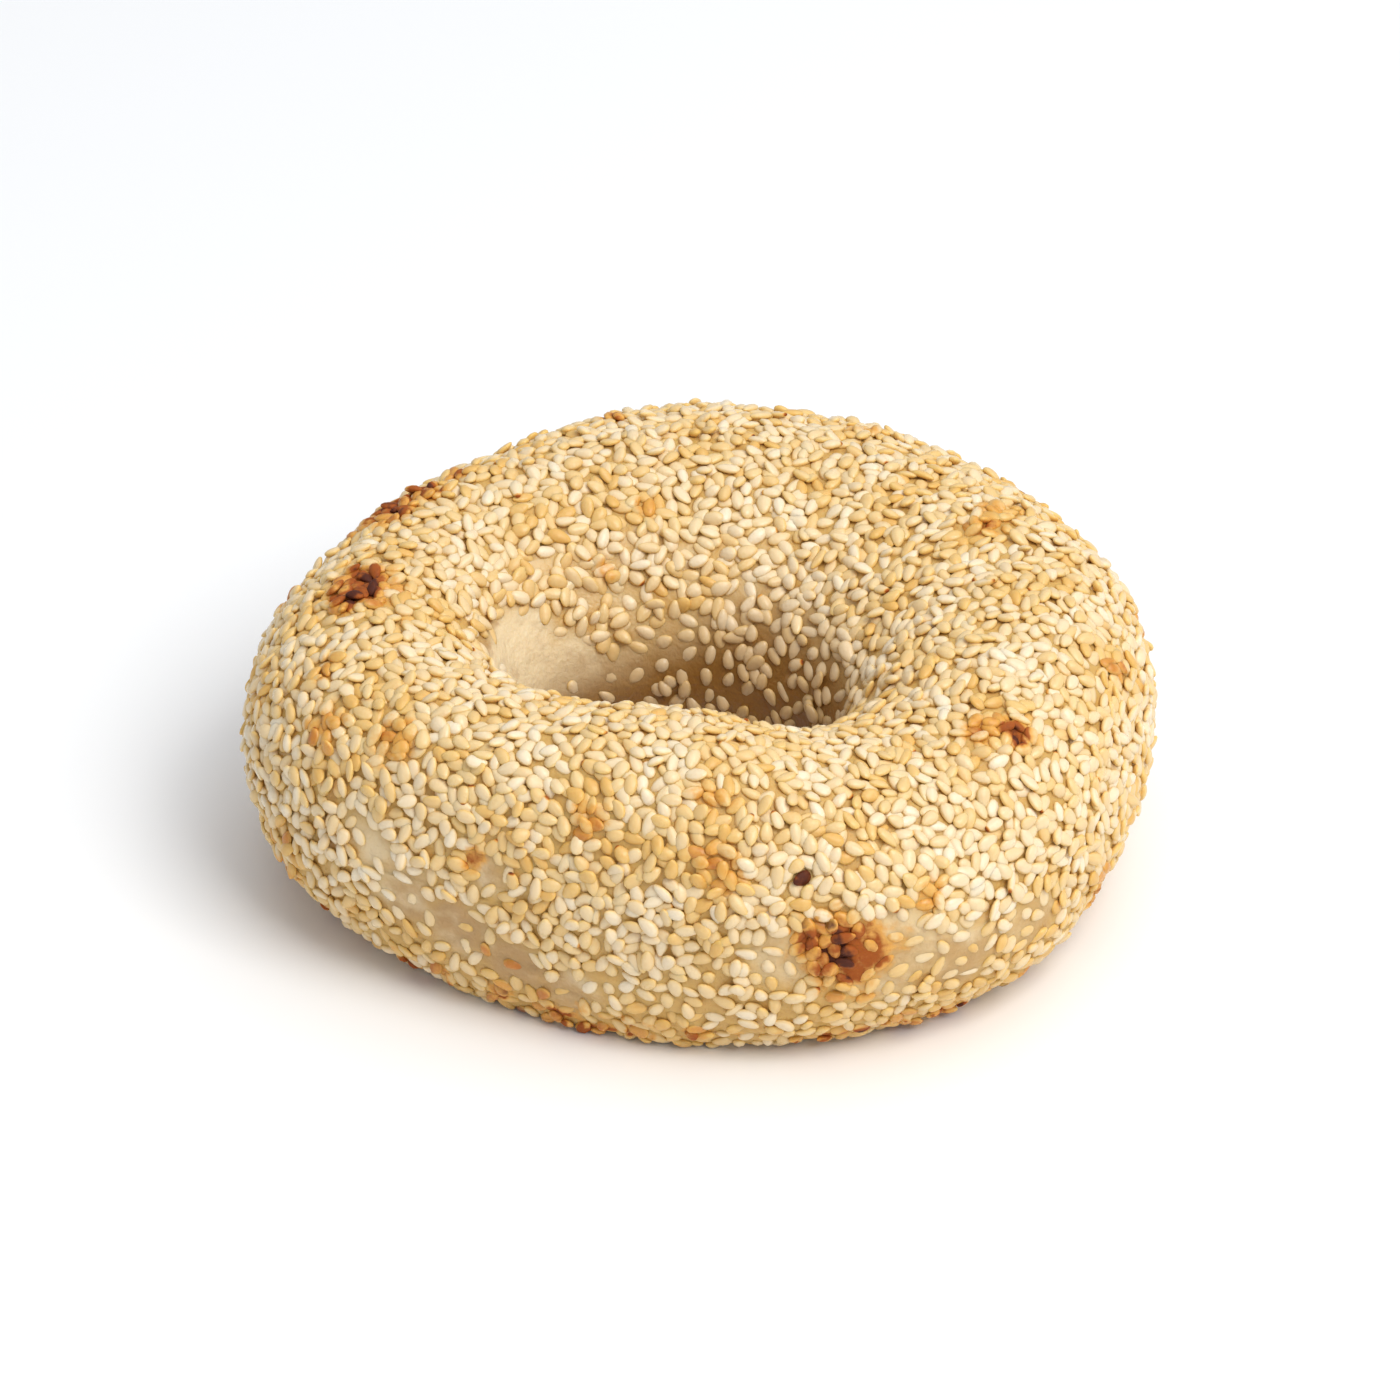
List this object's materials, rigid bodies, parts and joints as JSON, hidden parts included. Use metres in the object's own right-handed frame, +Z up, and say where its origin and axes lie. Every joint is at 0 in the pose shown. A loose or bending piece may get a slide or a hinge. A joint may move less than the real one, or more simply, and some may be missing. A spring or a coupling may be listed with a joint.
{
  "type": "sesame bagel",
  "caption": "Whole sesame bagel: a plump, slightly oval ring of baked dough with a slanting oval hole, a flat foot and sesame seeds baked into its crust.",
  "frame": {"origin": "centre of the bounding box at the flat foot, on the surface the bagel lies on", "axes": "+Z up through the hole, +X along the long side of the oval, -Y towards the side the picture shows"},
  "size_m": [0.1158, 0.1096, 0.0405],
  "materials": {
    "crust": "baked dough crust, dull cream to pale gold, toasted brown in spots",
    "seed": "hulled sesame seed, ivory to golden, faint waxy gloss"
  },
  "bodies": {
    "root": {"bagel": "crust"}
  },
  "joints": []
}
